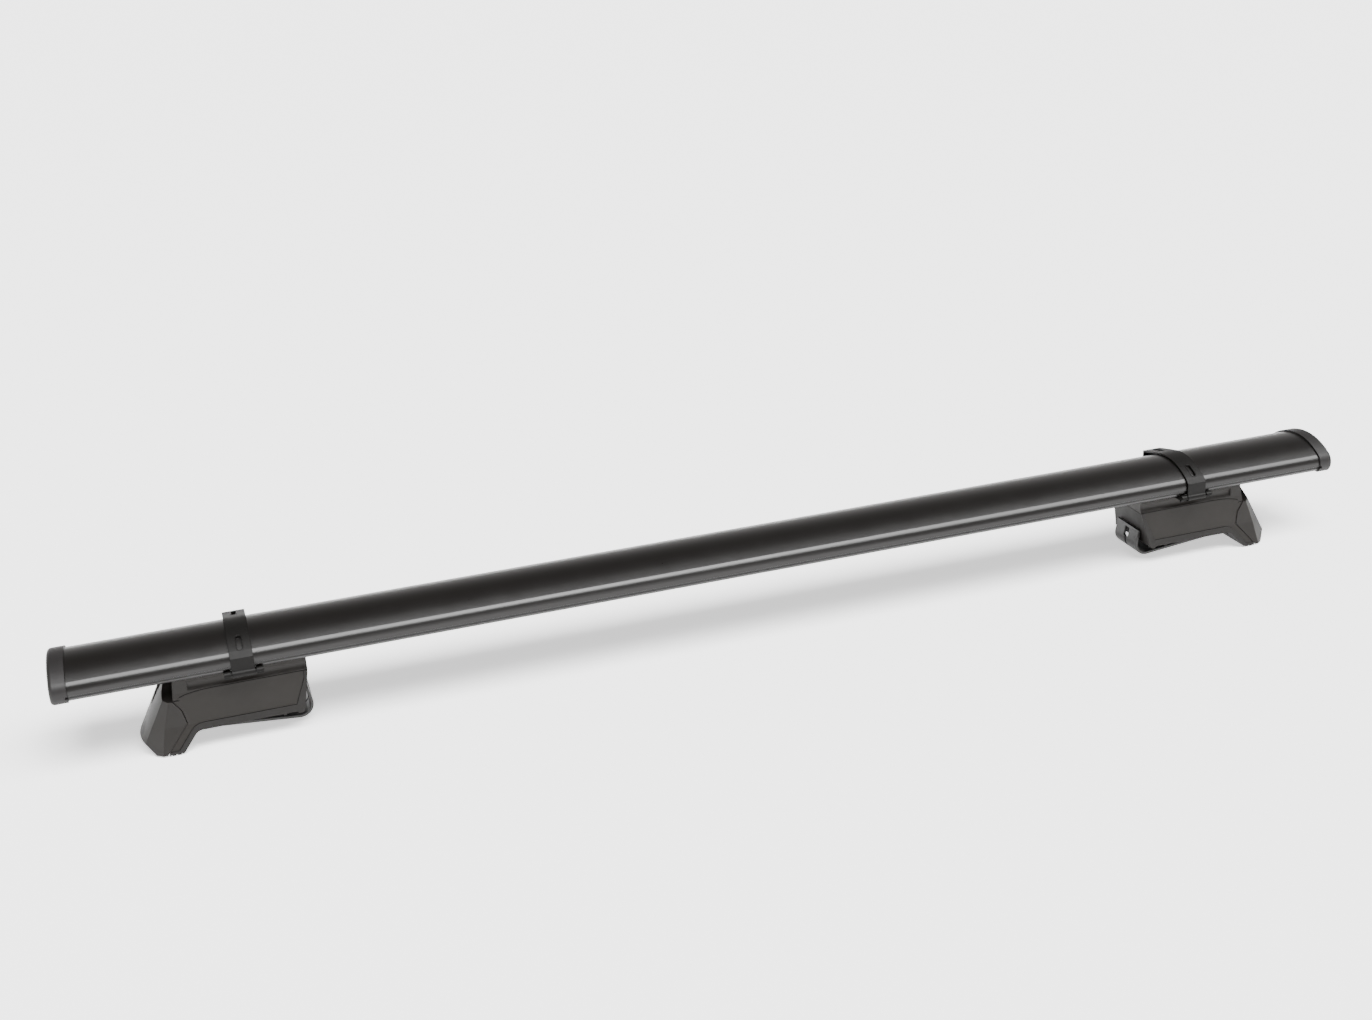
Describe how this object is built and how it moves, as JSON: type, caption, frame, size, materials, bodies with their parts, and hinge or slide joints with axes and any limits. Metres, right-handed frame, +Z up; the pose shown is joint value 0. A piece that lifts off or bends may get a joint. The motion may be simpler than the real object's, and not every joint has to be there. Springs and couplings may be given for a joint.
{
  "type": "roof rack crossbar",
  "caption": "Wing-section roof rack crossbar on rail-clamp feet, with capped ends, over-bar straps, rubber pads, screw-drawn rail bands and lockable end covers.",
  "frame": {"origin": "middle of the part's footprint, level with the soles of the feet", "axes": "+X along the bar, -Y towards the front edge, +Z up"},
  "size_m": [1.264, 0.09, 0.0984],
  "materials": {
    "bar_aluminium": "satin black anodised",
    "cap_plastic": "fine textured",
    "housing_plastic": "fine textured",
    "cover_plastic": "satin textured",
    "pad_rubber": "matte",
    "strap_steel": "matte black",
    "band_steel": "matte black coating",
    "bright_steel": "zinc plated",
    "lock_metal": "satin"
  },
  "bodies": {
    "bar": {"crossbar": "bar_aluminium", "left_end_cap": "cap_plastic", "right_end_cap": "cap_plastic"},
    "left_foot": {"left_upper_housing": "housing_plastic", "left_lower_housing": "housing_plastic", "left_underside_pad": "pad_rubber", "left_saddle_pads": "pad_rubber", "left_strap": "strap_steel", "left_strap_rods": "strap_steel", "left_clamp_plate": "strap_steel", "left_strap_screw": "bright_steel", "left_bearing_plate": "bright_steel"},
    "left_traveller": {"left_traveller": "bright_steel", "left_band_pin": "bright_steel"},
    "left_bolt": {"left_clamp_bolt": "bright_steel"},
    "left_band": {"left_rail_band": "band_steel"},
    "left_cover": {"left_end_cover": "cover_plastic", "left_lock_barrel": "lock_metal"},
    "left_lock": {"left_lock_cylinder": "lock_metal"},
    "right_foot": {"right_upper_housing": "housing_plastic", "right_lower_housing": "housing_plastic", "right_underside_pad": "pad_rubber", "right_saddle_pads": "pad_rubber", "right_strap": "strap_steel", "right_strap_rods": "strap_steel", "right_clamp_plate": "strap_steel", "right_strap_screw": "bright_steel", "right_bearing_plate": "bright_steel"},
    "right_traveller": {"right_traveller": "bright_steel", "right_band_pin": "bright_steel"},
    "right_bolt": {"right_clamp_bolt": "bright_steel"},
    "right_band": {"right_rail_band": "band_steel"},
    "right_cover": {"right_end_cover": "cover_plastic", "right_lock_barrel": "lock_metal"},
    "right_lock": {"right_lock_cylinder": "lock_metal"}
  },
  "joints": [
    {"name": "left_foot_slide", "type": "slide", "parent": "bar", "child": "left_foot", "axis": [-1, 0, 0], "range_m": [-0.3, 0.09]},
    {"name": "left_bolt_turn", "type": "hinge", "parent": "left_foot", "child": "left_bolt", "pos_m": [-0.5296, -0.00485, 0.027], "axis": [1, 0, 0], "range_deg": [-1985, 185]},
    {"name": "left_traveller_slide", "type": "slide", "parent": "left_foot", "child": "left_traveller", "axis": [-1, 0, 0], "range_m": [-0.0055, 0.0005]},
    {"name": "left_band_swing", "type": "hinge", "parent": "left_traveller", "child": "left_band", "pos_m": [-0.518, -0.00485, 0.017], "axis": [0, 1, 0], "range_deg": [0, 28]},
    {"name": "left_cover_slide", "type": "slide", "parent": "left_foot", "child": "left_cover", "axis": [-1, 0, 0], "range_m": [0, 0.03]},
    {"name": "left_lock_turn", "type": "hinge", "parent": "left_cover", "child": "left_lock", "pos_m": [-0.5302, -0.00485, 0.052], "axis": [1, 0, 0], "range_deg": [0, 90]},
    {"name": "right_foot_slide", "type": "slide", "parent": "bar", "child": "right_foot", "axis": [1, 0, 0], "range_m": [-0.3, 0.09]},
    {"name": "right_bolt_turn", "type": "hinge", "parent": "right_foot", "child": "right_bolt", "pos_m": [0.5296, -0.00485, 0.027], "axis": [-1, 0, 0], "range_deg": [-1985, 185]},
    {"name": "right_traveller_slide", "type": "slide", "parent": "right_foot", "child": "right_traveller", "axis": [1, 0, 0], "range_m": [-0.0055, 0.0005]},
    {"name": "right_band_swing", "type": "hinge", "parent": "right_traveller", "child": "right_band", "pos_m": [0.518, -0.00485, 0.017], "axis": [0, -1, 0], "range_deg": [0, 28]},
    {"name": "right_cover_slide", "type": "slide", "parent": "right_foot", "child": "right_cover", "axis": [1, 0, 0], "range_m": [0, 0.03]},
    {"name": "right_lock_turn", "type": "hinge", "parent": "right_cover", "child": "right_lock", "pos_m": [0.5302, -0.00485, 0.052], "axis": [1, 0, 0], "range_deg": [0, 90]}
  ],
  "couplings": [
    {"joint": "left_bolt_turn", "follows": "left_traveller_slide", "rad_per_m": 6283.2},
    {"joint": "right_bolt_turn", "follows": "right_traveller_slide", "rad_per_m": 6283.2}
  ]
}
